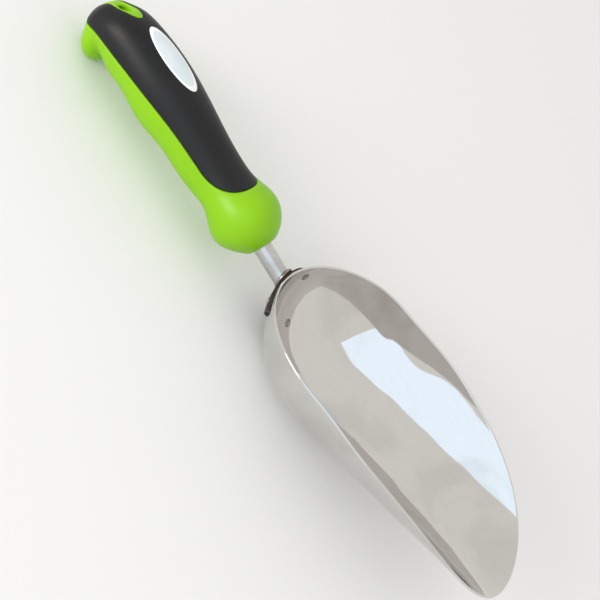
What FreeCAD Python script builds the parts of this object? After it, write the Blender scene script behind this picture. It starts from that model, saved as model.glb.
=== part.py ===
"""Hand trowel: a deep stainless scoop on a steel shank, in a two-shot moulded handle.

Two working frames are used, both in millimetres.
Scoop frame: +X along the scoop's straight bottom towards the tip, +Z up, back wall at x = 0, bottom at z = 0.
Grip frame: the shank's axis is the X axis, +X towards the scoop; a "station" is a distance behind the
handle's front. Every finished piece is then placed as the trowel lies on a bench, resting on the scoop's
heel and the pommel's nose.
"""

import FreeCAD, Part
import math
import os
import Sketcher

from FreeCAD import Placement, Rotation, Vector

PARTS_FOLDER = "parts"

SIZES = {
    # scoop: a round trough with a half-ellipsoid heel, trimmed along a falling rim
    "scoop_length": 176.0,
    "scoop_radius": 44.8,
    "heel_length": 50.0,
    "sheet_thickness": 1.2,
    "tip_height": 0.3,
    # saddle plate behind the heel, held by spot welds
    "saddle_thickness": 1.3,
    "saddle_width": 44.0,
    "saddle_tongue_width": 20.0,
    "saddle_top": 43.4,
    "saddle_top_width": 22.0,
    "saddle_wing": 39.2,
    "saddle_shoulder": 36.5,
    "saddle_tongue": 26.0,
    "saddle_bottom": 11.0,
    "saddle_corner": 1.6,
    "spot_radius": 2.2,
    "spot_proud": 0.3,
    # shank: a round rod, flattened where it is moulded into the handle
    "shank_radius": 4.5,
    "shank_height": 39.8,
    "shank_visible": 19.2,
    "shank_tilt": 18.2,
    "tang_length": 84.0,
    "tang_flat_length": 34.0,
    "tang_flat_thickness": 6.2,
    "tang_chamfer": 0.8,
    "weld_ring_radius": 4.7,
    "weld_radius": 1.0,
    # handle
    "grip_thickness": 2.2,
    "mouth_clearance": 0.7,
    "mouth_depth": 3.0,
    "nose_half_length": 7.8,
    "nose_half_height": 13.0,
    "nose_half_width": 13.0,
    "nose_station": 121.0,
    "nose_drop": 13.2,
    "nose_lean": 25.2,
    "hang_hole_radius": 2.5,
    "hang_hole_station": 123.8,
    "hang_boss_length": 16.0,
    "hang_boss_width": 7.4,
    # side profile of the soft grip's lower edge
    "edge_height": 3.4,
    "edge_front_station": 44.6,
    "edge_rear_station": 58.0,
    "edge_tail_station": 118.0,
    "edge_front_radius": 22.0,
    "edge_rear_radius": 227.0,
    "edge_tail_radius": 22.0,
    # badge let into the top of the grip
    "badge_length": 34.6,
    "badge_width": 12.4,
    "badge_station": 93.0,
    "badge_depth": 0.6,
    "badge_proud": 0.2,
}

# Rim height over the scoop's bottom, as a share of its radius, at shares of its length.
RIM = [(0.0, 1.0), (0.2, 1.0), (0.4, 0.9), (0.6, 0.745), (0.8, 0.475), (0.93, 0.2)]

# The trough's extra radius at shares of its length: it swells a little behind the middle.
SWELL = [(0.0, 0.0), (0.05, 0.1), (0.23, 2.2), (0.47, 1.9), (0.72, 0.9), (1.0, 0.8), (1.2, 0.8)]

# Handle sections, front to butt: station, top and bottom measured from the shank's axis, half width.
SECTIONS = [
    (0.0, 7.5, -6.4, 6.8),
    (2.5, 10.8, -8.8, 10.4),
    (7.0, 14.5, -12.8, 14.8),
    (14.0, 17.2, -16.4, 17.5),
    (22.0, 16.2, -14.8, 16.8),
    (29.0, 13.5, -12.3, 14.9),
    (38.0, 12.8, -13.7, 14.0),
    (50.0, 13.2, -15.2, 14.3),
    (65.0, 14.5, -15.4, 15.1),
    (80.0, 15.6, -17.7, 16.2),
    (95.0, 15.1, -16.3, 16.2),
    (106.0, 13.9, -17.2, 15.5),
    (114.5, 12.1, -16.0, 14.5),
    (121.5, 9.0, -16.2, 13.2),
    (126.5, 5.2, -16.0, 11.2),
    (130.0, 1.5, -13.6, 8.0),
    (132.2, -3.3, -11.0, 3.4),
]
SECTION_POINTS = 24
SECTION_FULLNESS = 2.15

# Spot welds on the heel: distance to either side of the middle, height.
SPOTS = [(15.0, 38.5), (6.5, 16.0)]

doc = FreeCAD.newDocument("HandTrowel")
sheet = doc.addObject("Spreadsheet::Sheet", "sizes")
for row, (alias, value) in enumerate(SIZES.items(), start=1):
    sheet.set(f"A{row}", alias)
    sheet.set(f"B{row}", str(value))
    sheet.setAlias(f"B{row}", alias)
doc.recompute()


def size(alias):
    """A driving dimension, read back from the sheet."""
    return float(sheet.get(alias))


def add(kind, name, bound=None, placement=None, **values):
    """A document object, with some properties bound to the sheet."""
    item = doc.addObject(kind, name)
    for key, value in values.items():
        setattr(item, key, value)
    for key, expression in (bound or {}).items():
        item.setExpression(key, expression)
    if placement is not None:
        item.Placement = placement
    return item


def cut(name, base, tool):
    return add("Part::Cut", name, Base=base, Tool=tool)


def common(name, base, tool):
    return add("Part::Common", name, Base=base, Tool=tool)


def solid(name, shape, placement=None):
    """A Part::Feature holding a shape that no parametric feature makes."""
    item = doc.addObject("Part::Feature", name)
    item.Shape = shape
    if placement is not None:
        item.Placement = placement
    return item


def origin_plane(body, role):
    return next(f for f in body.Origin.OriginFeatures if f.Role == role)


def sketch_on(body, name, role, height=0.0):
    """A sketch on one of the body's own origin planes, lifted along its normal."""
    sketch = body.newObject("Sketcher::SketchObject", name)
    sketch.AttachmentSupport = (origin_plane(body, role), "")
    sketch.MapMode = "FlatFace"
    sketch.AttachmentOffset = Placement(Vector(0, 0, height), Rotation())
    return sketch


def polygon(sketch, corners):
    """A closed outline of straight lines, its corners joined."""
    first = sketch.GeometryCount
    count = len(corners)
    for start, end in zip(corners, corners[1:] + corners[:1]):
        sketch.addGeometry(Part.LineSegment(Vector(*start, 0), Vector(*end, 0)), False)
    for k in range(count):
        sketch.addConstraint(Sketcher.Constraint("Coincident", first + k, 2, first + (k + 1) % count, 1))


# ---------------------------------------------------------------- frames

ALONG_X = Rotation(Vector(0, 1, 0), 90)
HEEL_CENTRE = Vector(size("heel_length"), 0, size("scoop_radius"))
GRIP_FRAME = Placement(
    Vector(0, 0, size("shank_height")),
    Rotation(Vector(0, 1, 0), size("shank_tilt")),
)
UP = GRIP_FRAME.Rotation.multVec(Vector(0, 0, 1))
HANDLE_FRONT = -size("shank_visible")


def station_x(station):
    """The grip frame's X of a distance behind the handle's front face."""
    return HANDLE_FRONT - station


# ---------------------------------------------------------------- scoop

def scoop_form(name, growth):
    """The half-ellipsoid heel and the round trough as one solid, grown by a number of sheet cells."""
    heel = add(
        "Part::Ellipsoid",
        name + "_heel",
        {
            "Radius1": "sizes.heel_length" + growth,
            "Radius2": "sizes.scoop_radius" + growth,
            "Radius3": "sizes.scoop_radius" + growth,
        },
        Placement(HEEL_CENTRE, ALONG_X),
        Angle1=-90,
        Angle2=0,
    )
    rings = []
    for share, gain in SWELL:
        along = share * (size("scoop_length") - size("heel_length"))
        rings.append(add(
            "Part::Circle",
            f"{name}_ring_{len(rings)}",
            {"Radius": f"sizes.scoop_radius + {gain}" + growth},
            Placement(HEEL_CENTRE + Vector(along, 0, gain), ALONG_X),
        ))
    trough = add("Part::Loft", name + "_trough", Sections=rings, Solid=True, Ruled=False)
    return add("Part::Fuse", name, Base=heel, Tool=trough)


def rim_cutter():
    """Everything above the rim and beyond the tip, as one block to take away."""
    length = size("scoop_length")
    radius = size("scoop_radius")
    margin = radius
    rim_points = [Vector(share * length, -2 * radius, height * radius) for share, height in RIM]
    tip = Vector(length, -2 * radius, size("tip_height"))
    rim = Part.BSplineCurve()
    rim.interpolate(rim_points + [tip])
    back = Vector(-margin, -2 * radius, radius)
    corners = [
        tip,
        Vector(length, -2 * radius, -margin),
        Vector(2 * length, -2 * radius, -margin),
        Vector(2 * length, -2 * radius, 3 * radius),
        Vector(-margin, -2 * radius, 3 * radius),
        back,
        rim_points[0],
    ]
    edges = [rim.toShape()]
    for start, end in zip(corners, corners[1:]):
        edges.append(Part.makeLine(start, end))
    face = Part.Face(Part.Wire(Part.__sortEdges__(edges)))
    return solid("rim_cutter", face.extrude(Vector(0, 4 * radius, 0)))


def heel_point(side, height):
    """A point on the heel's outside and the outward direction there."""
    length = size("heel_length")
    radius = size("scoop_radius")
    drop = radius - height
    along = math.sqrt(1 - (side / radius) ** 2 - (drop / radius) ** 2)
    point = Vector(length * (1 - along), side, height)
    outward = Vector(-along / length, side / radius**2, -drop / radius**2)
    return point, outward.normalize()


def make_spots():
    """The weld nuggets, through the plate and the sheet, as one group of separate solids."""
    nuggets = []
    through = size("sheet_thickness") + size("saddle_thickness") + 2 * size("spot_proud")
    for side, height in SPOTS:
        for mirror in (1, -1):
            point, outward = heel_point(mirror * side, height)
            start = point - outward * (size("sheet_thickness") + size("spot_proud"))
            nugget = add(
                "Part::Cylinder",
                f"nugget_{len(nuggets) + 1}",
                {"Radius": "sizes.spot_radius"},
                Placement(start, Rotation(Vector(0, 0, 1), outward)),
                Height=through,
            )
            nuggets.append(nugget)
    return add("Part::Compound", "spot_group", Links=nuggets)


def make_saddle_blank():
    """A T-shaped block standing behind the heel, its corners rounded."""
    body = doc.addObject("PartDesign::Body", "saddle_blank")
    outline = sketch_on(body, "saddle_outline", "YZ_Plane")
    top = size("saddle_top")
    bottom = size("saddle_bottom")
    half = size("saddle_width") / 2
    half_tongue = size("saddle_tongue_width") / 2
    right = [
        (size("saddle_top_width") / 2, top),
        (half, size("saddle_wing")),
        (half, size("saddle_shoulder")),
        (half_tongue, size("saddle_tongue")),
        (half_tongue, bottom),
    ]
    left = [(-across, up) for across, up in reversed(right)]
    polygon(outline, right + left)
    pad = body.newObject("PartDesign::Pad", "saddle_pad")
    pad.Profile = outline
    pad.Midplane = True
    pad.setExpression("Length", "sizes.heel_length * 1.5")
    doc.recompute()
    upright = [
        f"Edge{k}"
        for k, edge in enumerate(pad.Shape.Edges, start=1)
        if abs(edge.tangentAt(edge.FirstParameter).x) > 0.99
    ]
    fillet = body.newObject("PartDesign::Fillet", "saddle_corners")
    fillet.Base = (pad, upright)
    fillet.setExpression("Radius", "sizes.saddle_corner")
    doc.recompute()
    return body


outside = scoop_form("scoop_outside", "")
inside = scoop_form("scoop_inside", " - sizes.sheet_thickness")
saddle_outside = scoop_form("saddle_outside", " + sizes.saddle_thickness")
spots = make_spots()

scoop_wall = cut("scoop_wall", outside, inside)
scoop_trimmed = cut("scoop_trimmed", scoop_wall, rim_cutter())
scoop_blade = cut("scoop_blade_solid", scoop_trimmed, spots)

saddle_shell = cut("saddle_shell", saddle_outside, outside)
saddle_cut = common("saddle_cut", saddle_shell, make_saddle_blank())
saddle_plate = cut("saddle_plate_solid", saddle_cut, spots)


# ---------------------------------------------------------------- shank

def make_shank_blank():
    """The rod with its flattened tang, along the grip frame's X axis."""
    body = doc.addObject("PartDesign::Body", "shank_blank")
    front = size("shank_radius") * 2
    tail = station_x(size("tang_length"))
    circle = sketch_on(body, "rod_outline", "YZ_Plane", front)
    circle.addGeometry(Part.Circle(Vector(0, 0, 0), Vector(0, 0, 1), size("shank_radius")), False)
    circle.addConstraint(Sketcher.Constraint("Coincident", 0, 3, -1, 1))
    radius = circle.addConstraint(Sketcher.Constraint("Radius", 0, size("shank_radius")))
    circle.setExpression(f"Constraints[{radius}]", "sizes.shank_radius")
    rod = body.newObject("PartDesign::Pad", "rod")
    rod.Profile = circle
    rod.Reversed = True
    rod.setExpression("Length", "2 * sizes.shank_radius + sizes.shank_visible + sizes.tang_length")
    doc.recompute()
    whole = rod.Shape.Volume

    flats = sketch_on(body, "tang_flats", "YZ_Plane", tail)
    inner = size("tang_flat_thickness") / 2
    outer = size("shank_radius") * 1.5
    for sign in (1, -1):
        polygon(flats, [
            (sign * inner, -outer), (sign * outer, -outer), (sign * outer, outer), (sign * inner, outer),
        ])
    pocket = body.newObject("PartDesign::Pocket", "tang_pocket")
    pocket.Profile = flats
    pocket.Reversed = True
    pocket.setExpression("Length", "sizes.tang_flat_length")
    doc.recompute()
    if not pocket.Shape.Volume < whole - 1:
        raise RuntimeError("the tang's flats cut nothing")

    end_edges = [
        f"Edge{k}"
        for k, edge in enumerate(pocket.Shape.Edges, start=1)
        if all(abs(v.Point.x - tail) < 1e-6 for v in edge.Vertexes)
    ]
    chamfer = body.newObject("PartDesign::Chamfer", "tang_end")
    chamfer.Base = (pocket, end_edges)
    chamfer.setExpression("Size", "sizes.tang_chamfer")
    doc.recompute()
    body.Placement = GRIP_FRAME
    return body


def make_weld():
    """A fillet bead round the shank where it meets the saddle plate."""
    seat, outward = heel_point(0.0, size("shank_height") + size("saddle_thickness"))
    ring = add(
        "Part::Torus",
        "weld_ring",
        {"Radius1": "sizes.weld_ring_radius", "Radius2": "sizes.weld_radius"},
        Placement(seat + outward * size("saddle_thickness"), Rotation(Vector(0, 0, 1), outward)),
    )
    return cut("shank_weld_solid", cut("weld_on_plate", ring, saddle_outside), shank_blank)


shank_blank = make_shank_blank()
shank = cut("shank_solid", shank_blank, saddle_outside)
shank_weld = make_weld()


# ---------------------------------------------------------------- handle

def section_wire(station, top, bottom, half_width, inset=0.0):
    """One closed handle section: a slightly squared ellipse, shrunk by an inset."""
    middle = (top + bottom) / 2
    half_height = (top - bottom) / 2 - inset
    half_width = half_width - inset
    power = 2 / SECTION_FULLNESS
    points = []
    for k in range(SECTION_POINTS):
        angle = 2 * math.pi * k / SECTION_POINTS
        across = math.copysign(abs(math.cos(angle)) ** power, math.cos(angle))
        up = math.copysign(abs(math.sin(angle)) ** power, math.sin(angle))
        points.append(Vector(station_x(station), half_width * across, middle + half_height * up))
    curve = Part.BSplineCurve()
    curve.interpolate(Points=points, PeriodicFlag=True)
    return Part.Wire([curve.toShape()])


def handle_loft(sections, inset=0.0):
    return Part.makeLoft([section_wire(*section, inset) for section in sections], True, False)


def edge_profile():
    """The soft grip's region in side view, above an edge that turns up in front and down at the butt."""
    height = size("edge_height")
    turn = size("edge_front_radius")
    sweep = size("edge_rear_radius")
    tail = size("edge_tail_radius")
    front = station_x(size("edge_front_station"))
    rear = station_x(size("edge_rear_station"))

    def on_arc(middle, radius, angle):
        """A point on an arc, the angle counted from straight up towards the butt."""
        return middle + Vector(-radius * math.sin(angle), 0, radius * math.cos(angle))

    turn_middle = Vector(front, 0, height + turn)
    sweep_middle = Vector(rear, 0, height - sweep)
    tail_angle = math.asin((size("edge_tail_station") - size("edge_rear_station")) / sweep)
    tail_middle = on_arc(sweep_middle, sweep - tail, tail_angle)
    end_angle = math.radians(72)
    level_front = Vector(front, 0, height)
    level_rear = Vector(rear, 0, height)
    turn_end = on_arc(turn_middle, turn, -math.pi / 2)
    tail_start = on_arc(sweep_middle, sweep, tail_angle)
    tail_end = on_arc(tail_middle, tail, end_angle)
    ceiling = 2 * turn
    corners = [turn_end, Vector(turn_end.x, 0, ceiling), Vector(tail_end.x, 0, ceiling), tail_end]
    edges = [
        Part.Arc(tail_end, on_arc(tail_middle, tail, (tail_angle + end_angle) / 2), tail_start).toShape(),
        Part.Arc(tail_start, on_arc(sweep_middle, sweep, tail_angle / 2), level_rear).toShape(),
        Part.makeLine(level_rear, level_front),
        Part.Arc(level_front, on_arc(turn_middle, turn, -math.pi * 3 / 4), turn_end).toShape(),
    ]
    for start, end in zip(corners, corners[1:]):
        edges.append(Part.makeLine(start, end))
    face = Part.Face(Part.Wire(Part.__sortEdges__(edges)))
    reach = size("scoop_radius")
    face.translate(Vector(0, -reach, 0))
    return face.extrude(Vector(0, 2 * reach, 0))


def upright_oval(name, length, width, station):
    """An oval prism along the grip frame's Z axis, from the shank's axis up through the handle's top."""
    outline = add(
        "Part::Ellipse", name + "_outline",
        {"MajorRadius": f"sizes.{length} / 2", "MinorRadius": f"sizes.{width} / 2"},
        Placement(GRIP_FRAME.multVec(Vector(station_x(size(station)), 0, 0)), GRIP_FRAME.Rotation),
    )
    return add(
        "Part::Extrusion", name, {"LengthFwd": "sizes.scoop_radius"},
        Base=outline, DirMode="Custom", Dir=UP, Solid=True,
    )


handle_skin = solid("handle_skin", handle_loft(SECTIONS), GRIP_FRAME)
nose_lean = Rotation(Vector(0, 1, 0), -size("nose_lean"))
nose = add(
    "Part::Ellipsoid", "pommel_nose",
    {
        "Radius1": "sizes.nose_half_height",
        "Radius2": "sizes.nose_half_length",
        "Radius3": "sizes.nose_half_width",
    },
    GRIP_FRAME.multiply(Placement(Vector(station_x(size("nose_station")), 0, -size("nose_drop")), nose_lean)),
)
handle_outside = add("Part::Fuse", "handle_outside", Base=handle_skin, Tool=nose)
handle_inside = solid("handle_inside", handle_loft(SECTIONS[2:-1], size("grip_thickness")), GRIP_FRAME)
grip_region = solid("grip_region", edge_profile(), GRIP_FRAME)
boss = upright_oval("hang_boss", "hang_boss_length", "hang_boss_width", "hang_hole_station")
reach = size("scoop_radius")
hang_hole = add(
    "Part::Cylinder", "hang_hole",
    {"Radius": "sizes.hang_hole_radius", "Height": "2 * sizes.scoop_radius"},
    GRIP_FRAME.multiply(Placement(Vector(station_x(size("hang_hole_station")), 0, -reach), Rotation())),
)

grip_outer = common("grip_outer", handle_skin, grip_region)
grip_shell = cut("grip_shell", grip_outer, handle_inside)
grip_blank = cut("grip_blank", grip_shell, boss)

# The badge follows the handle's own top surface, so it is cut from two copies of the skin.
badge_prism = upright_oval("badge_prism", "badge_length", "badge_width", "badge_station")
raised_frame = Placement(GRIP_FRAME.Base + UP * size("badge_proud"), GRIP_FRAME.Rotation)
lowered_frame = Placement(
    GRIP_FRAME.Base - UP * (size("badge_depth") - size("badge_proud")), GRIP_FRAME.Rotation
)
skin_raised = solid("skin_raised", handle_loft(SECTIONS), raised_frame)
skin_lowered = solid("skin_lowered", handle_loft(SECTIONS), lowered_frame)
badge = cut("badge_solid", common("badge_block", skin_raised, badge_prism), skin_lowered)

soft_grip = cut("soft_grip_solid", grip_blank, badge)
core_blank = cut("core_blank", handle_outside, grip_blank)
core_drilled = cut("core_drilled", core_blank, hang_hole)
mouth = add(
    "Part::Cylinder", "shank_mouth",
    {"Radius": "sizes.shank_radius + sizes.mouth_clearance", "Height": "2 * sizes.mouth_depth"},
    Placement(
        GRIP_FRAME.multVec(Vector(HANDLE_FRONT - size("mouth_depth"), 0, 0)),
        GRIP_FRAME.Rotation.multiply(ALONG_X),
    ),
)
core_mouth = cut("core_mouth", core_drilled, mouth)
handle_core = cut("handle_core_solid", core_mouth, shank_blank)

doc.recompute()

FINISHED = {
    "scoop_blade": scoop_blade,
    "saddle_plate": saddle_plate,
    "spot_welds": spots,
    "shank": shank,
    "shank_weld": shank_weld,
    "handle_core": handle_core,
    "soft_grip": soft_grip,
    "badge": badge,
}


# ---------------------------------------------------------------- lying on the bench

def turned(shape, pitch):
    """A copy of a shape with the scoop's tip raised by a pitch in degrees."""
    copy = shape.copy()
    copy.rotate(Vector(0, 0, 0), Vector(0, 1, 0), -pitch)
    return copy


def resting_pitch():
    """The pitch at which the heel and the pommel's nose are level."""
    low, high = 5.0, 30.0
    while high - low > 1e-4:
        pitch = (low + high) / 2
        heel_low = turned(scoop_blade.Shape, pitch).optimalBoundingBox(False).ZMin
        nose_low = turned(handle_core.Shape, pitch).optimalBoundingBox(False).ZMin
        if nose_low > heel_low:
            low = pitch
        else:
            high = pitch
    return (low + high) / 2


pitch = resting_pitch()
whole = Part.makeCompound([turned(item.Shape, pitch) for item in FINISHED.values()])
box = whole.optimalBoundingBox(False)
bench = Placement(
    Vector(-(box.XMin + box.XMax) / 2, -(box.YMin + box.YMax) / 2, -box.ZMin),
    Rotation(Vector(0, 1, 0), -pitch),
)
pieces = {}
for label, item in FINISHED.items():
    pieces[label] = add("Part::Compound", label, placement=bench, Links=[item])
    pieces[label].Label = label
doc.recompute()


# ---------------------------------------------------------------- checks and export

for item in doc.Objects:
    bad = [state for state in item.State if state in ("Invalid", "Error")]
    if bad:
        raise RuntimeError(f"{item.Name} is {bad}")
for label, piece in pieces.items():
    shape = piece.Shape
    if shape.isNull() or not shape.isValid() or not shape.Solids:
        raise RuntimeError(f"{label} is not a valid solid")
    print(f"{label}: {len(shape.Solids)} solid(s), {shape.Volume:.0f} mm3")

os.makedirs(PARTS_FOLDER, exist_ok=True)
for label, piece in pieces.items():
    piece.Shape.exportStep(os.path.join(PARTS_FOLDER, label + ".step"))

joined = Part.makeCompound([piece.Shape for piece in pieces.values()]).optimalBoundingBox(False)
print(f"pitch {pitch:.4f} degrees, bench {bench.Base}")
print(f"box {joined.XLength:.2f} x {joined.YLength:.2f} x {joined.ZLength:.2f} mm, lowest {joined.ZMin:.4f}")
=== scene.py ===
"""Looks for the hand trowel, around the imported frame.

Finer meshes stand in for five CAD pieces, and every piece gets a procedural material.
Lengths of the shapes are in millimetres; those of materials, floor, lights and camera are in metres.
"""

import math

import bpy
import numpy as np
from mathutils import Matrix, Vector


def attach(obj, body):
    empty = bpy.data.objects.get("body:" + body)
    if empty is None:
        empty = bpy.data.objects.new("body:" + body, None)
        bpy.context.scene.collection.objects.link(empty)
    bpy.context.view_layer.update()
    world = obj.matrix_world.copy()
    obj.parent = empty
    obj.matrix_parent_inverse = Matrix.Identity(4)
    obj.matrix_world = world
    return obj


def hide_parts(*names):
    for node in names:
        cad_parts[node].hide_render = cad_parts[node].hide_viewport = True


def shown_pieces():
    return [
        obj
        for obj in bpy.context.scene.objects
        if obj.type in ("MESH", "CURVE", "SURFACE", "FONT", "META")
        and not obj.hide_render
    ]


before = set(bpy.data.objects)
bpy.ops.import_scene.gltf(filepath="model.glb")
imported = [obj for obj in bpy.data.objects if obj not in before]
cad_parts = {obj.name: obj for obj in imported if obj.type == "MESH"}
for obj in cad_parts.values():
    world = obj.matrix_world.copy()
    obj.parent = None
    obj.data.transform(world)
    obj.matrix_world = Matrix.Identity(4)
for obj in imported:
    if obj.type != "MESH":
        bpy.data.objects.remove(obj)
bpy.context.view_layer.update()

MM = 0.001  # metres
# points of the scoop's sheet, along the rim and across
ROWS, COLUMNS = ((330, 151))

# ---------------------------------------------------------------- the CAD's own numbers

# how the tool rests: turned by PITCH and moved by BENCH
PITCH = math.radians(18.0546)
BENCH = np.array([-1.78583, 0.0, -12.76489])

# the shank's axis: its tilt, its height above the scoop's floor and the length in sight
TILT = math.radians(18.2)
SHANK_HEIGHT = 39.8
SHANK_VISIBLE = 19.2

SCOOP_LENGTH = 176.0
SCOOP_RADIUS = 44.8
HEEL_LENGTH = 50.0
SHEET = 1.2
# share of the scoop's length, rim height as a share of the radius
RIM = [(0.0, 1.0), (0.2, 1.0), (0.4, 0.9), (0.6, 0.745), (0.8, 0.475), (0.93, 0.2), (1.0, 0.0067)]
# share of the trough's length, growth of its radius
SWELL = [(0.0, 0.0), (0.05, 0.1), (0.23, 2.2), (0.47, 1.9), (0.72, 0.9), (1.0, 0.8), (1.2, 0.8)]

# station along the handle, top, bottom and half width there
SECTIONS = np.array([
    (0.0, 7.5, -6.4, 6.8),
    (2.5, 10.8, -8.8, 10.4),
    (7.0, 14.5, -12.8, 14.8),
    (14.0, 17.2, -16.4, 17.5),
    (22.0, 16.2, -14.8, 16.8),
    (29.0, 13.5, -12.3, 14.9),
    (38.0, 12.8, -13.7, 14.0),
    (50.0, 13.2, -15.2, 14.3),
    (65.0, 14.5, -15.4, 15.1),
    (80.0, 15.6, -17.7, 16.2),
    (95.0, 15.1, -16.3, 16.2),
    (106.0, 13.9, -17.2, 15.5),
    (114.5, 12.1, -16.0, 14.5),
    (121.5, 9.0, -16.2, 13.2),
    (126.5, 5.2, -16.0, 11.2),
    (130.0, 1.5, -13.6, 8.0),
    (132.2, -3.3, -11.0, 3.4),
])
FULLNESS = 2.15  # the sections' power; 2 is an ellipse
HANDLE_LENGTH = 132.2
GRIP_THICKNESS = 2.2
GRIP_CLEARANCE = 0.10

# the pommel's leaning ellipsoid
NOSE = {"station": 121.0, "drop": 13.2, "lean": math.radians(25.2),
        "length": 7.8, "width": 13.0, "height": 13.0}

# the hanging hole, the oval boss it runs through and the shallow dish round its upper mouth
HOLE_STATION = 123.8
HOLE_RADIUS = 2.5
BOSS = (8.0, 3.7)
DISH = {"station": 123.8, "height": 7.6, "slope": math.radians(40.0),
        "long": 7.0, "wide": 3.2, "deep": 1.1}

# the recess at the front of the handle where the shank comes out
MOUTH_RADIUS = 5.2
MOUTH_DEPTH = 3.0

# the soft grip's lower edge in side view: a level line between two arcs, and a tighter arc at the tail
EDGE = {"height": 3.4, "front": 44.6, "rear": 58.0, "tail": 118.0,
        "front_radius": 22.0, "rear_radius": 227.0, "tail_radius": 22.0}
BADGE = {"station": 93.0, "length": 34.6, "width": 12.4}

# spot welds: places as (across, height), repeated on both sides
SADDLE_THICKNESS = 1.3
SPOTS = [(15.0, 38.5), (6.5, 16.0)]

# ---------------------------------------------------------------- how fine the meshes are

CURVE_STEPS = 6000
RIM_STEPS = 9000
RIM_BAND_STEPS = 9
SHEET_GAP = 2e-3  # points closer than this become one
NET_GAP = 0.01
BADGE_TURNS = 160
SPOT_TURNS = 56


# ---------------------------------------------------------------- frames

def scoop_to_row(points):
    """Scoop frame in millimetres to the row's frame in metres."""
    c, s = math.cos(PITCH), math.sin(PITCH)
    x, y, z = np.asarray(points, float).T
    return (np.stack([x * c - z * s, y, x * s + z * c], axis=1) + BENCH) * MM


def grip_to_row(points):
    """(station, across, up) from the shank's axis, in millimetres, to the row's frame in metres."""
    station, across, up = np.asarray(points, float).T
    c, s = math.cos(TILT), math.sin(TILT)
    back = SHANK_VISIBLE + station
    return scoop_to_row(np.stack([-back * c + up * s, across, SHANK_HEIGHT + back * s + up * c], axis=1))


class Curve:
    """A natural cubic through points, as a fine table."""

    def __init__(self, x, y):
        x, y = np.asarray(x, float), np.asarray(y, float)
        n = len(x)
        h = np.diff(x)
        a = np.zeros((n, n))
        b = np.zeros(n)
        a[0, 0] = a[-1, -1] = 1
        for k in range(1, n - 1):
            a[k, k - 1:k + 2] = h[k - 1], 2 * (h[k - 1] + h[k]), h[k]
            b[k] = 6 * ((y[k + 1] - y[k]) / h[k] - (y[k] - y[k - 1]) / h[k - 1])
        m = np.linalg.solve(a, b)
        self.x = np.linspace(x[0], x[-1], CURVE_STEPS)
        k = np.clip(np.searchsorted(x, self.x) - 1, 0, n - 2)
        left, right = self.x - x[k], x[k + 1] - self.x
        self.y = (
            (m[k] * right**3 + m[k + 1] * left**3) / (6 * h[k])
            + (y[k] / h[k] - m[k] * h[k] / 6) * right
            + (y[k + 1] / h[k] - m[k + 1] * h[k] / 6) * left
        )
        self.slope = np.gradient(self.y, self.x)

    def at(self, x):
        return np.interp(x, self.x, self.y)

    def slope_at(self, x):
        return np.interp(x, self.x, self.slope)


# ---------------------------------------------------------------- making pieces

def make_piece(name, points, faces, slot, *replaced):
    """A smooth-shaded mesh object that rides on the root body and stands for CAD nodes."""
    mesh = bpy.data.meshes.new(name)
    mesh.from_pydata(np.asarray(points).tolist(), [], [list(f) for f in faces])
    mesh.validate()
    mesh.shade_smooth()
    piece = bpy.data.objects.new(name, mesh)
    bpy.context.scene.collection.objects.link(piece)
    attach(piece, "root")
    if replaced:
        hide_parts(*replaced)
    return piece


def grid_faces(rows, columns, first=0, flip=False):
    """Quads of a grid of points, whose rows follow one another."""
    k = first + np.arange(rows - 1)[:, None] * columns + np.arange(columns - 1)[None, :]
    quads = np.stack([k, k + 1, k + columns + 1, k + columns], axis=-1).reshape(-1, 4)
    return quads[:, ::-1] if flip else quads


def welded(points, faces, gap):
    """The same faces with coincident points merged and collapsed corners dropped."""
    keys = np.round(np.asarray(points) / gap).astype(np.int64)
    _, first, index = np.unique(keys, axis=0, return_index=True, return_inverse=True)
    index = index.reshape(-1)
    kept = []
    for face in index[np.asarray(faces)]:
        corners = [c for k, c in enumerate(face) if c != face[k - 1]]
        if len(set(corners)) > 2:
            kept.append(corners)
    return np.asarray(points)[first], kept


# ---------------------------------------------------------------- scoop

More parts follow.
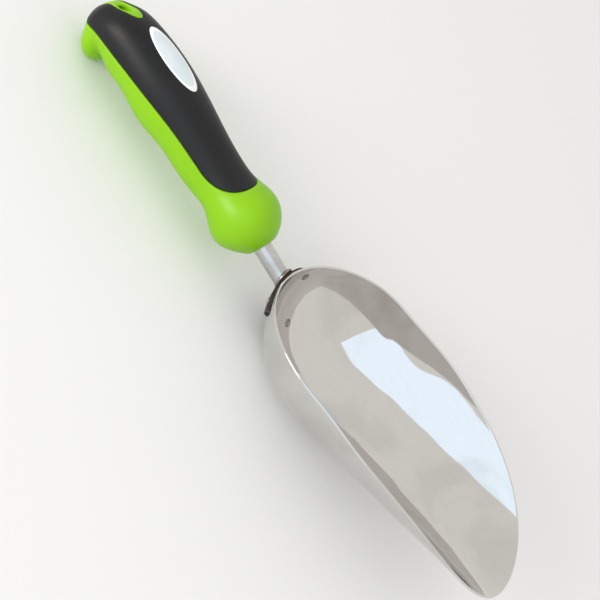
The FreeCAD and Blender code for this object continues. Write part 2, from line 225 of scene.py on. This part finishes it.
def make_scoop():
    """One closed sheet: outside, inside and a fully rounded rim."""
    half = SHEET / 2
    trough = SCOOP_LENGTH - HEEL_LENGTH
    gain = Curve([HEEL_LENGTH + a * trough for a, _ in SWELL], [g for _, g in SWELL])
    rim = Curve([a * SCOOP_LENGTH for a, _ in RIM], [h * SCOOP_RADIUS for _, h in RIM])
    tip = SCOOP_LENGTH - half
    tip_blend, tip_shift = 150, 0.75  # where the rim starts to draw in for the rounded edge, and by how much

    def middle(x_like, phi):
        """The sheet's middle surface and its outward normal.

        x_like is the place along the scoop: an ellipsoid up to the heel's length, and the trough beyond it.
        """
        x_like, phi = np.broadcast_arrays(x_like, phi)
        on_heel = x_like < HEEL_LENGTH
        cosine = np.clip((HEEL_LENGTH - x_like) / HEEL_LENGTH, 0, 1)
        sine = np.sqrt(1 - cosine**2)
        length, radius = HEEL_LENGTH - half, SCOOP_RADIUS - half
        heel = np.stack([HEEL_LENGTH - length * cosine, radius * sine * np.sin(phi),
                         SCOOP_RADIUS - radius * sine * np.cos(phi)], axis=-1)
        heel_out = np.stack([-cosine / length, sine * np.sin(phi) / radius,
                             -sine * np.cos(phi) / radius], axis=-1)
        swell = gain.at(np.maximum(x_like, HEEL_LENGTH))
        grow = gain.slope_at(np.maximum(x_like, HEEL_LENGTH))
        r = radius + swell
        body = np.stack([x_like, r * np.sin(phi), SCOOP_RADIUS + swell - r * np.cos(phi)], axis=-1)
        body_out = np.stack([-grow * (1 - np.cos(phi)), np.sin(phi), -np.cos(phi)], axis=-1)
        place = np.where(on_heel[..., None], heel, body)
        out = np.where(on_heel[..., None], heel_out, body_out)
        return place, out / np.linalg.norm(out, axis=-1, keepdims=True)

    def rim_angle(x_like):
        """How far round the section the sheet reaches."""
        sine = np.sqrt(1 - np.clip((HEEL_LENGTH - x_like) / HEEL_LENGTH, 0, 1) ** 2)
        swell = gain.at(np.maximum(x_like, HEEL_LENGTH))
        r = np.maximum((SCOOP_RADIUS - half) * sine + swell, 1e-6)
        near_tip = np.clip((x_like - tip_blend) / (tip - tip_blend), 0, 1)
        height = rim.at(x_like - tip_shift * near_tip**2 * (3 - 2 * near_tip)) - half
        return np.arccos(np.clip((SCOOP_RADIUS + swell - height) / r, -0.2, 1))

    # even steps along the rim, from the middle of the back round to the tip
    start = math.asin(half / (SCOOP_RADIUS - half))
    heel = HEEL_LENGTH * (1 - np.cos(np.linspace(start, math.pi / 2, RIM_STEPS)))
    fine = np.r_[heel[:-1], np.linspace(HEEL_LENGTH, tip, RIM_STEPS)]
    reach = rim_angle(fine)
    reach[0] = reach[-1] = 0.0
    walk = np.cumsum(np.r_[0, np.linalg.norm(np.diff(middle(fine, reach)[0], axis=0), axis=1)])
    even = np.linspace(0, walk[-1], ROWS)
    rows = np.interp(even, walk, fine)
    angle = np.interp(even, walk, reach)
    across = np.linspace(-1, 1, COLUMNS)
    place, out = middle(rows[:, None], angle[:, None] * across[None, :])
    outer = (place + half * out).reshape(-1, 3)
    inner = (place - half * out).reshape(-1, 3)

    # the rim band, from the tip round the back to the tip again
    line = np.concatenate([place[::-1, 0], place[1:, -1]])
    normal = np.concatenate([out[::-1, 0], out[1:, -1]])
    along = np.gradient(line, axis=0)
    along[[0, -1]] = 0, -1, 0
    along /= np.linalg.norm(along, axis=1, keepdims=True) + 1e-12
    beyond = np.cross(along, normal)
    beyond /= np.linalg.norm(beyond, axis=1, keepdims=True)
    beyond *= np.sign(np.sum(beyond * np.array([0.3, 0, 1.0]), axis=1))[:, None]
    turn = np.linspace(0, math.pi, RIM_BAND_STEPS)
    band = line[:, None] + half * (
        normal[:, None] * np.cos(turn)[None, :, None] + beyond[:, None] * np.sin(turn)[None, :, None]
    )

    count = len(rows), len(across)
    points = np.concatenate([outer, inner, band.reshape(-1, 3)])
    faces = np.concatenate([
        grid_faces(*count),
        grid_faces(*count, first=len(outer), flip=True),
        grid_faces(len(line), len(turn), first=2 * len(outer)),
    ])
    points, faces = welded(points, faces, SHEET_GAP)
    return make_piece("scoop_blade_polished", scoop_to_row(points), faces, "polished_sheet", "scoop_blade")


# ---------------------------------------------------------------- handle, as rounded solids

def soft_min(a, b, width):
    """The smaller of two distances, with the corner between them rounded."""
    h = np.maximum(width - np.abs(a - b), 0) / width
    return np.minimum(a, b) - h * h * width / 4


def soft_max(a, b, width):
    """The larger of two distances, with the corner between them rounded."""
    return -soft_min(-a, -b, width)


TOP = Curve(SECTIONS[:, 0], SECTIONS[:, 1])
BOTTOM = Curve(SECTIONS[:, 0], SECTIONS[:, 2])
HALF_WIDTH = Curve(SECTIONS[:, 0], SECTIONS[:, 3])


def ellipsoid(local, radii, least_slope):
    """Distance outside an ellipsoid, near its surface; least_slope keeps it tame near the middle."""
    radii = np.array(radii)
    q = np.linalg.norm(local / radii, axis=1)
    steep = np.linalg.norm(local / radii**2, axis=1) / np.maximum(q, 1e-6)
    return (q - 1) / np.maximum(steep, least_slope)


def leaning(p, station, height, angle):
    """Points as seen from a place on the handle's middle plane, leaning by an angle."""
    c, s = math.cos(angle), math.sin(angle)
    back, up = p[:, 0] - station, p[:, 2] - height
    return np.stack([back * c - up * s, p[:, 1], back * s + up * c], axis=1)


def skin(p):
    """Distance outside the handle's lofted form."""
    rear_round, front_round, least_slope = 3.0, 1.4, 1 / 25
    station, y, n = p.T
    s = np.clip(station, 0, HANDLE_LENGTH)
    top, bottom, width = TOP.at(s), BOTTOM.at(s), HALF_WIDTH.at(s)
    semi = (top - bottom) / 2
    a = np.abs(y) / width
    b = np.abs(n - (top + bottom) / 2) / semi
    q = np.maximum((a**FULLNESS + b**FULLNESS) ** (1 / FULLNESS), 1e-6)
    steep = q ** (1 - FULLNESS) * np.hypot(a ** (FULLNESS - 1) / width, b ** (FULLNESS - 1) / semi)
    side = (q - 1) / np.maximum(steep, least_slope)
    side = soft_max(side, station - HANDLE_LENGTH, rear_round)
    return soft_max(side, -station, front_round)


def nose(p):
    """Distance outside the pommel's leaning ellipsoid."""
    local = leaning(p, NOSE["station"], -NOSE["drop"], NOSE["lean"])
    return ellipsoid(local, (NOSE["length"], NOSE["width"], NOSE["height"]), 1 / 14)


def above_edge(p):
    """Distance above the soft grip's lower edge, in side view."""
    s, n = p[:, 0], p[:, 2]
    front, rear, height = EDGE["front"], EDGE["rear"], EDGE["height"]
    turn, sweep = EDGE["front_radius"], EDGE["rear_radius"]
    level = n - height
    turned = turn - np.hypot(s - front, n - height - turn)
    turned = np.where(n > height + turn, turn - np.abs(s - front), turned)
    swept = np.hypot(s - rear, n - height + sweep) - sweep
    angle = math.asin((EDGE["tail"] - rear) / sweep)
    down = sweep - EDGE["tail_radius"]
    middle = rear + down * math.sin(angle), height - sweep + down * math.cos(angle)
    tailed = np.hypot(s - middle[0], n - middle[1]) - EDGE["tail_radius"]
    swept = np.where(np.arctan2(s - rear, n - height + sweep) > angle, tailed, swept)
    return np.where(s < front, turned, np.where(s > rear, swept, level))


def dish(p):
    """Distance outside the shallow oval hollow round the hanging hole's upper mouth."""
    local = leaning(p, DISH["station"], DISH["height"], DISH["slope"])
    return ellipsoid(local, (DISH["long"], DISH["wide"], DISH["deep"]), 1 / 8)


def grip_field(p, clearance=0.0):
    """The soft grip: a shell above the edge line, cut round the hanging boss."""
    boss_floor, far_away = -8, 20.0  # below the floor the boss counts as far away
    corner_round, lip_round = 0.8, 1.1
    outer = skin(p)
    edge = above_edge(p) - GRIP_CLEARANCE
    boss = (np.hypot((p[:, 0] - HOLE_STATION) / BOSS[0], p[:, 1] / BOSS[1]) - 1) * BOSS[1]
    boss = np.where(p[:, 2] < boss_floor, far_away, boss)
    region = soft_max(-edge, -boss, corner_round)
    shell = np.maximum(region, -(outer + GRIP_THICKNESS))
    return soft_max(outer, shell, lip_round) - clearance


def core_field(p):
    """The hard core: the whole handle with its pommel, less the soft grip's room, the hole and the mouth."""
    nose_blend, edge_round, hole_round, mouth_round = 1.4, 0.5, 1.6, 0.8
    lip_rise, lip_below, lip_width = 0.16, 0.75, 0.55  # a low ridge in the green along the grip's edge
    whole = soft_min(skin(p), nose(p), nose_blend)
    lip = np.exp(-((above_edge(p) + lip_below) / lip_width) ** 2)
    whole = whole - lip_rise * lip
    pocket = grip_field(p, GRIP_CLEARANCE)
    body = soft_max(whole, -pocket, edge_round)
    body = soft_max(body, -dish(p), edge_round)
    hole = np.hypot(p[:, 0] - HOLE_STATION, p[:, 1]) - HOLE_RADIUS
    body = soft_max(body, -hole, hole_round)
    mouth = np.maximum(np.hypot(p[:, 1], p[:, 2]) - MOUTH_RADIUS, p[:, 0] - MOUTH_DEPTH)
    return soft_max(body, -mouth, mouth_round)


def surface_net(field, low, high, step):
    """The zero surface of a field as quads, each point then pulled onto the surface."""
    batches, pulls = 24, 5
    probe, least_slope, longest_pull = 0.02, 0.2, 0.3 * step
    axes = [np.arange(a, b + step, step) for a, b in zip(low, high)]
    shape = tuple(len(a) for a in axes)
    lattice = np.stack(np.meshgrid(*axes, indexing="ij"), axis=-1).reshape(-1, 3)
    values = np.concatenate([field(part) for part in np.array_split(lattice, batches)]).reshape(shape)
    inside = values < 0

    # each mixed cell's point is the mean of the crossings on its twelve edges
    cells = tuple(n - 1 for n in shape)
    total = np.zeros(cells + (3,))
    hits = np.zeros(cells)
    for axis in range(3):
        others = [k for k in range(3) if k != axis]
        for da in (0, 1):
            for db in (0, 1):
                start = [slice(0, n) for n in cells]
                start[others[0]] = slice(da, cells[others[0]] + da)
                start[others[1]] = slice(db, cells[others[1]] + db)
                stop = list(start)
                stop[axis] = slice(1, cells[axis] + 1)
                f0, f1 = values[tuple(start)], values[tuple(stop)]
                crossed = (f0 < 0) != (f1 < 0)
                share = np.where(crossed, f0 / np.where(crossed, f0 - f1, 1), 0)
                offset = np.zeros(3)
                offset[others[0]], offset[others[1]] = da, db
                total[..., axis] += share * crossed
                total += crossed[..., None] * offset
                hits += crossed
    mixed = hits > 0
    number = np.full(cells, -1)
    number[mixed] = np.arange(mixed.sum())
    corner = np.argwhere(mixed)
    points = np.array(low) + (corner + total[mixed] / hits[mixed][:, None]) * step

    # each lattice edge that crosses the surface joins the points of its four cells
    quads = []
    for axis in range(3):
        u, v = [(1, 2), (2, 0), (0, 1)][axis]
        start = [slice(1, n - 1) for n in shape]
        start[axis] = slice(0, shape[axis] - 1)
        stop = list(start)
        stop[axis] = slice(1, shape[axis])
        change = inside[tuple(start)].astype(int) - inside[tuple(stop)].astype(int)
        for sign in (1, -1):
            at = np.argwhere(change == sign)
            at[:, u] += 1
            at[:, v] += 1
            around = []
            for du, dv in ((-1, -1), (0, -1), (0, 0), (-1, 0)):
                cell = at.copy()
                cell[:, u] += du
                cell[:, v] += dv
                around.append(number[tuple(cell.T)])
            quads.append(np.stack(around if sign < 0 else around[::-1], axis=1))
    quads = np.concatenate(quads)

    for _ in range(pulls):
        value = field(points)
        slope = np.stack([
            (field(points + d) - field(points - d)) / (2 * probe) for d in np.eye(3) * probe
        ], axis=1)
        move = (value / np.maximum(np.sum(slope**2, axis=1), least_slope))[:, None] * slope
        points = points - np.clip(move, -longest_pull, longest_pull)
    return points, quads


def make_handle(step):
    """The hard core and the soft grip, from their fields over one lattice round the handle."""
    low, high = (-1.5, -19.5, -29.0), (134.5, 19.5, 19.5)
    points, faces = welded(*surface_net(core_field, low, high, step), NET_GAP)
    make_piece("handle_core_moulded", grip_to_row(points), faces, "green_plastic", "handle_core")
    points, faces = welded(*surface_net(grip_field, low, high, step), NET_GAP)
    make_piece("soft_grip_moulded", grip_to_row(points), faces, "black_rubber", "soft_grip")


make_scoop()
make_handle(step=0.5)


# ---------------------------------------------------------------- badge and spot welds

def closed_rings(rings):
    """A closed skin over equal rings, the first and last of them shrunk to a point.

    Gives its points, its faces and which of the rings' points were kept.
    """
    turns = len(rings[0])
    points = np.concatenate(rings)
    number = np.arange(len(points))
    number[:turns] = 0
    number[-turns:] = number[-turns]
    faces = []
    for k in range(len(rings) - 1):
        for j in range(turns):
            after = (j + 1) % turns
            corners = [k * turns + j, k * turns + after, (k + 1) * turns + after, (k + 1) * turns + j]
            corners = [int(number[c]) for c in corners]
            faces.append([c for n, c in enumerate(corners) if c != corners[n - 1]])
    kept = np.unique(number)
    place = {int(c): n for n, c in enumerate(kept)}
    return points[kept], [tuple(place[c] for c in face) for face in faces], kept


def make_badge():
    """A domed oval label with a raised border, on the top of the grip."""
    border_start = 0.85
    # share of the half size, lift above the handle's form
    rings = [
        (0.0, 0.16), (0.35, 0.155), (0.6, 0.14), (0.78, 0.12), (0.845, 0.10), (0.865, 0.17), (0.90, 0.20),
        (0.95, 0.20), (0.985, 0.15), (1.0, 0.02), (1.0, -0.35), (0.97, -0.4), (0.5, -0.4), (0.0, -0.4),
    ]
    angle = np.linspace(0, 2 * math.pi, BADGE_TURNS, endpoint=False)
    points = []
    border = []
    for share, lift in rings:
        station = BADGE["station"] + share * BADGE["length"] / 2 * np.cos(angle)
        across = share * BADGE["width"] / 2 * np.sin(angle)
        top, bottom, width = TOP.at(station), BOTTOM.at(station), HALF_WIDTH.at(station)
        rise = (1 - (np.abs(across) / width) ** FULLNESS) ** (1 / FULLNESS)
        up = (top + bottom) / 2 + (top - bottom) / 2 * rise + lift
        points.append(np.stack([station, across, up], axis=1))
        border.append(np.full(BADGE_TURNS, float(share > border_start)))
    points, faces, kept = closed_rings(points)
    piece = make_piece("badge_domed", grip_to_row(points), faces, "badge_white", "badge")
    mark = piece.data.attributes.new("border", "FLOAT", "POINT")
    mark.data.foreach_set("value", np.concatenate(border)[kept].astype(np.float32))


def make_spots():
    """Pressed weld nuggets through the sheet and the saddle plate, each with a ring round a small dish."""
    # radius, height above the face
    cap = [(0.0, 0.06), (0.8, 0.08), (1.25, 0.20), (1.65, 0.28), (1.95, 0.20), (2.12, 0.08), (2.2, -0.05)]
    profile = [(r, -SHEET - h) for r, h in cap] + [(r, SADDLE_THICKNESS + h) for r, h in reversed(cap)]
    angle = np.linspace(0, 2 * math.pi, SPOT_TURNS, endpoint=False)[:, None]
    points, faces = [], []
    for side, height in [(sign * across, up) for across, up in SPOTS for sign in (1, -1)]:
        drop = SCOOP_RADIUS - height
        along = math.sqrt(1 - (side / SCOOP_RADIUS) ** 2 - (drop / SCOOP_RADIUS) ** 2)
        middle = np.array([HEEL_LENGTH * (1 - along), side, height])
        out = np.array([-along / HEEL_LENGTH, side / SCOOP_RADIUS**2, -drop / SCOOP_RADIUS**2])
        out /= np.linalg.norm(out)
        level = np.cross(out, (0, 0, 1))
        level /= np.linalg.norm(level)
        circle = np.cos(angle) * level + np.sin(angle) * np.cross(out, level)
        spot_points, spot_faces, _ = closed_rings([middle + out * h + r * circle for r, h in profile])
        faces += [tuple(c + len(points) for c in face) for face in spot_faces]
        points.extend(spot_points)
    make_piece("spot_welds_pressed", scoop_to_row(np.array(points)), faces, "weld_steel", "spot_welds")


make_badge()
make_spots()


# ---------------------------------------------------------------- materials

class Look:
    """A node tree under construction."""

    def __init__(self, tree):
        self.tree = tree

    def add(self, kind, inputs=None, **settings):
        """A node, with sockets or values on its inputs."""
        node = self.tree.nodes.new(kind)
        for key, value in settings.items():
            setattr(node, key, value)
        for key, value in (inputs or {}).items():
            if isinstance(value, bpy.types.NodeSocket):
                self.tree.links.new(value, node.inputs[key])
            else:
                node.inputs[key].default_value = value
        return node

    def math(self, operation, a, b=0.0):
        return self.add("ShaderNodeMath", {0: a, 1: b}, operation=operation).outputs[0]

    def ease(self, value, low, high, start=0.0, end=1.0):
        """Start below low, end above high, and a smooth step between them."""
        node = self.add(
            "ShaderNodeMapRange",
            {"Value": value, "From Min": low, "From Max": high, "To Min": start, "To Max": end},
            interpolation_type="SMOOTHSTEP",
        )
        return node.outputs["Result"]

    def mix(self, share, a, b):
        """From colour a to colour b."""
        a, b = [(*c, 1) if isinstance(c, tuple) and len(c) == 3 else c for c in (a, b)]
        return self.add("ShaderNodeMix", {0: share, 6: a, 7: b}, data_type="RGBA").outputs[2]

    def noise(self, place, scale, detail=2.0, stretch=(1, 1, 1), distortion=0.0):
        if stretch != (1, 1, 1):
            place = self.add("ShaderNodeMapping", {"Vector": place, "Scale": stretch}).outputs[0]
        node = self.add("ShaderNodeTexNoise", {
            "Vector": place, "Scale": scale, "Detail": detail, "Distortion": distortion,
        })
        return node.outputs["Fac"]

    def specks(self, place, spacing, radius, share):
        """1 in small round specks, about one in every so many cells."""
        cells = self.add("ShaderNodeTexVoronoi", {"Vector": place, "Scale": 1 / spacing})
        spot = self.ease(cells.outputs["Distance"], radius / spacing * 1.3, radius / spacing * 0.7)
        chosen = self.add("ShaderNodeSeparateColor", {0: cells.outputs["Color"]}).outputs[0]
        return self.math("MULTIPLY", spot, self.math("LESS_THAN", chosen, share))

    def bump(self, height, distance, normal=None):
        """A normal disturbed by a height, whose full range is the distance in metres."""
        inputs = {"Height": height, "Distance": distance, "Strength": 1.0}
        if normal is not None:
            inputs["Normal"] = normal
        return self.add("ShaderNodeBump", inputs).outputs[0]


def material(name, **constants):
    """A look on a new Principled material, the place on the object in metres and connect.

    The constants are values on the shader's own sockets; connect links sockets to its other inputs.
    """
    made = bpy.data.materials.new(name)
    made.use_nodes = True
    look = Look(made.node_tree)
    shader = made.node_tree.nodes["Principled BSDF"]
    for key, value in constants.items():
        shader.inputs[key.replace("_", " ")].default_value = value
    place = look.add("ShaderNodeTexCoord").outputs["Object"]

    def connect(**sockets):
        for key, socket in sockets.items():
            made.node_tree.links.new(socket, shader.inputs[key.replace("_", " ")])
        return made

    return look, place, connect


def polished_sheet():
    look, place, connect = material("polished_sheet", Metallic=1.0)
    smudge = look.ease(look.noise(place, 30, 5, distortion=0.6), 0.5, 0.72)
    lines = look.noise(place, 1, 4, stretch=(14, 420, 420))
    hair = look.noise(place, 1, 3, stretch=(90, 3600, 3600))
    speck = look.specks(place, 0.011, 0.00016, 0.25)
    colour = look.mix(smudge, (0.665, 0.655, 0.635), (0.60, 0.59, 0.565))
    colour = look.mix(look.ease(lines, 0.3, 0.75, 0.0, 0.10), colour, (0.5, 0.48, 0.45))
    colour = look.mix(speck, colour, (0.16, 0.14, 0.12))
    rough = look.math("ADD", look.ease(smudge, 0, 1, 0.035, 0.085), look.ease(lines, 0.45, 0.8, 0.0, 0.05))
    wave = look.noise(place, 1, 2, stretch=(14, 38, 38))
    normal = look.bump(wave, 0.0006)
    normal = look.bump(hair, 0.0000022, normal)
    return connect(Base_Color=colour, Roughness=rough, Normal=normal)


def polished_rod():
    look, place, connect = material("polished_rod", Metallic=1.0)
    rings = look.noise(place, 1, 3, stretch=(3200, 160, 160))
    haze = look.noise(place, 90, 4)
    colour = look.mix(look.ease(haze, 0.35, 0.7), (0.60, 0.595, 0.59), (0.48, 0.47, 0.46))
    rough = look.math("ADD", look.ease(rings, 0.3, 0.7, 0.15, 0.23), look.ease(haze, 0.4, 0.7, 0.0, 0.05))
    return connect(Base_Color=colour, Roughness=rough, Normal=look.bump(rings, 0.000004))


def dark_steel():
    look, place, connect = material("dark_steel", Metallic=1.0)
    mottle = look.noise(place, 170, 6, distortion=0.8)
    grain = look.noise(place, 2600, 3)
    heat = look.ease(look.noise(place, 60, 2), 0.42, 0.62)
    colour = look.mix(look.ease(mottle, 0.3, 0.7), (0.035, 0.032, 0.034), (0.085, 0.078, 0.076))
    colour = look.mix(look.math("MULTIPLY", heat, 0.35), colour, (0.07, 0.045, 0.035))
    rough = look.ease(mottle, 0.3, 0.75, 0.42, 0.60)
    return connect(Base_Color=colour, Roughness=rough, Normal=look.bump(grain, 0.00002))


def weld_steel(name, scale, distance):
    look, place, connect = material(name, Metallic=1.0)
    ripple = look.noise(place, scale, 4, distortion=0.5)
    tint = look.ease(look.noise(place, scale * 0.4, 2), 0.4, 0.65)
    colour = look.mix(look.ease(ripple, 0.3, 0.7), (0.22, 0.21, 0.20), (0.42, 0.40, 0.38))
    colour = look.mix(look.math("MULTIPLY", tint, 0.45), colour, (0.34, 0.24, 0.15))
    rough = look.ease(ripple, 0.3, 0.7, 0.34, 0.16)
    return connect(Base_Color=colour, Roughness=rough, Normal=look.bump(ripple, distance))


def green_plastic():
    look, place, connect = material(
        "green_plastic", Coat_Weight=0.05, Coat_Roughness=0.2, Specular_IOR_Level=0.3,
    )
    cloud = look.noise(place, 22, 3)
    grain = look.noise(place, 1500, 3)
    speck = look.specks(place, 0.009, 0.00014, 0.2)
    colour = look.mix(look.ease(cloud, 0.35, 0.65), (0.220, 0.50, 0.0010), (0.245, 0.54, 0.0025))
    colour = look.mix(speck, colour, (0.12, 0.2, 0.01))
    rough = look.math("ADD", look.ease(grain, 0.3, 0.7, 0.34, 0.42), look.ease(cloud, 0.4, 0.7, 0.0, 0.05))
    return connect(Base_Color=colour, Roughness=rough, Normal=look.bump(grain, 0.000007))


def black_rubber():
    look, place, connect = material("black_rubber", Specular_IOR_Level=0.30)
    rub = look.ease(look.noise(place, 24, 4, distortion=0.4), 0.38, 0.66)
    grain = look.noise(place, 2400, 3)
    lint = look.specks(place, 0.007, 0.00011, 0.16)
    colour = look.mix(rub, (0.0060, 0.0068, 0.0085), (0.0100, 0.0102, 0.0108))
    colour = look.mix(lint, colour, (0.11, 0.11, 0.11))
    rough = look.math("ADD", look.ease(grain, 0.3, 0.7, 0.36, 0.46), look.ease(rub, 0, 1, 0.05, 0.0))
    return connect(Base_Color=colour, Roughness=rough, Normal=look.bump(grain, 0.000006))


def badge_white():
    look, place, connect = material("badge_white", Coat_Weight=0.6, Coat_Roughness=0.06)
    border = look.add("ShaderNodeAttribute", attribute_name="border").outputs["Fac"]
    print_grain = look.noise(place, 2600, 2)
    cloud = look.noise(place, 130, 3)
    centre = look.mix(look.ease(cloud, 0.3, 0.7), (0.66, 0.75, 0.80), (0.72, 0.80, 0.84))
    centre = look.mix(look.ease(print_grain, 0.35, 0.65, 0.0, 0.12), centre, (0.6, 0.68, 0.72))
    colour = look.mix(look.ease(border, 0.2, 0.8), centre, (0.9, 0.92, 0.93))
    rough = look.ease(print_grain, 0.3, 0.7, 0.20, 0.28)
    return connect(Base_Color=colour, Roughness=rough, Normal=look.bump(print_grain, 0.000002))


LOOKS = {
    "scoop_blade_polished": polished_sheet(),
    "saddle_plate": dark_steel(),
    "spot_welds_pressed": weld_steel("weld_nugget", 700, 0.00001),
    "shank": polished_rod(),
    "shank_weld": weld_steel("weld_bead", 900, 0.00012),
    "handle_core_moulded": green_plastic(),
    "soft_grip_moulded": black_rubber(),
    "badge_domed": badge_white(),
}
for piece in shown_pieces():
    piece.data.materials.clear()
    piece.data.materials.append(LOOKS[piece.name])


# ---------------------------------------------------------------- floor, light, camera

def make_floor():
    """A plain pale sheet under the tool."""
    mesh = bpy.data.meshes.new("floor")
    reach = 6.0
    corners = [(-reach, -reach, 0), (reach, -reach, 0), (reach, reach, 0), (-reach, reach, 0)]
    mesh.from_pydata(corners, [], [(0, 1, 2, 3)])
    item = bpy.data.objects.new("floor", mesh)
    bpy.context.scene.collection.objects.link(item)
    look, place, connect = material("pale_floor")
    tone = look.noise(place, 3, 2)
    colour = look.mix(tone, (0.86, 0.86, 0.86), (0.88, 0.88, 0.88))
    mesh.materials.append(connect(Base_Color=colour, Roughness=look.ease(tone, 0.3, 0.7, 0.85, 0.95)))


def make_world():
    """Even pale surroundings."""
    world = bpy.data.worlds.new("studio")
    world.use_nodes = True
    background = world.node_tree.nodes["Background"]
    background.inputs["Color"].default_value = (0.90, 0.88, 0.85, 1)
    background.inputs["Strength"].default_value = 0.98
    bpy.context.scene.world = world


def softbox(name, place, target, size, power, colour):
    """A large soft studio light, in metres and watts, that everything but the camera sees."""
    lamp = bpy.data.lights.new(name, "AREA")
    lamp.shape = "RECTANGLE"
    lamp.size, lamp.size_y = size
    lamp.energy = power
    lamp.color = colour
    item = bpy.data.objects.new(name, lamp)
    item.visible_camera = False
    item.location = place
    item.rotation_euler = (Vector(target) - Vector(place)).to_track_quat("-Z", "Y").to_euler()
    bpy.context.scene.collection.objects.link(item)


def make_camera():
    """The camera, above the -Y side and rolled so that the handle points up to the left of the picture."""
    camera = bpy.data.objects.new("camera", bpy.data.cameras.new("camera"))
    bpy.context.scene.collection.objects.link(camera)
    camera.data.sensor_width = 36.0
    camera.data.lens = 68.105
    camera.data.clip_start = 0.01
    right = Vector((0.52614, 0.50762, 0.68227))
    up = Vector((-0.84137, 0.42735, 0.33087))
    back = Vector((-0.12362, -0.74812, 0.65194))
    facing = Matrix((right, up, back)).transposed().to_4x4()
    camera.matrix_world = Matrix.Translation((-0.06857, -0.39786, 0.37420)) @ facing
    bpy.context.scene.camera = camera


make_floor()
make_world()
softbox(
    "front_softbox", place=(-0.12, -0.98, 0.70), target=(0.05, 0, 0.03), size=(0.60, 1.30),
    power=1.7, colour=(0.45, 0.70, 1.0),
)
softbox(
    "left_softbox", place=(-0.80, -1.00, 0.35), target=(-0.10, 0, 0.03), size=(0.60, 0.60),
    power=9.0, colour=(1.0, 0.96, 0.90),
)
make_camera()
bpy.context.scene.view_settings.view_transform = "Standard"
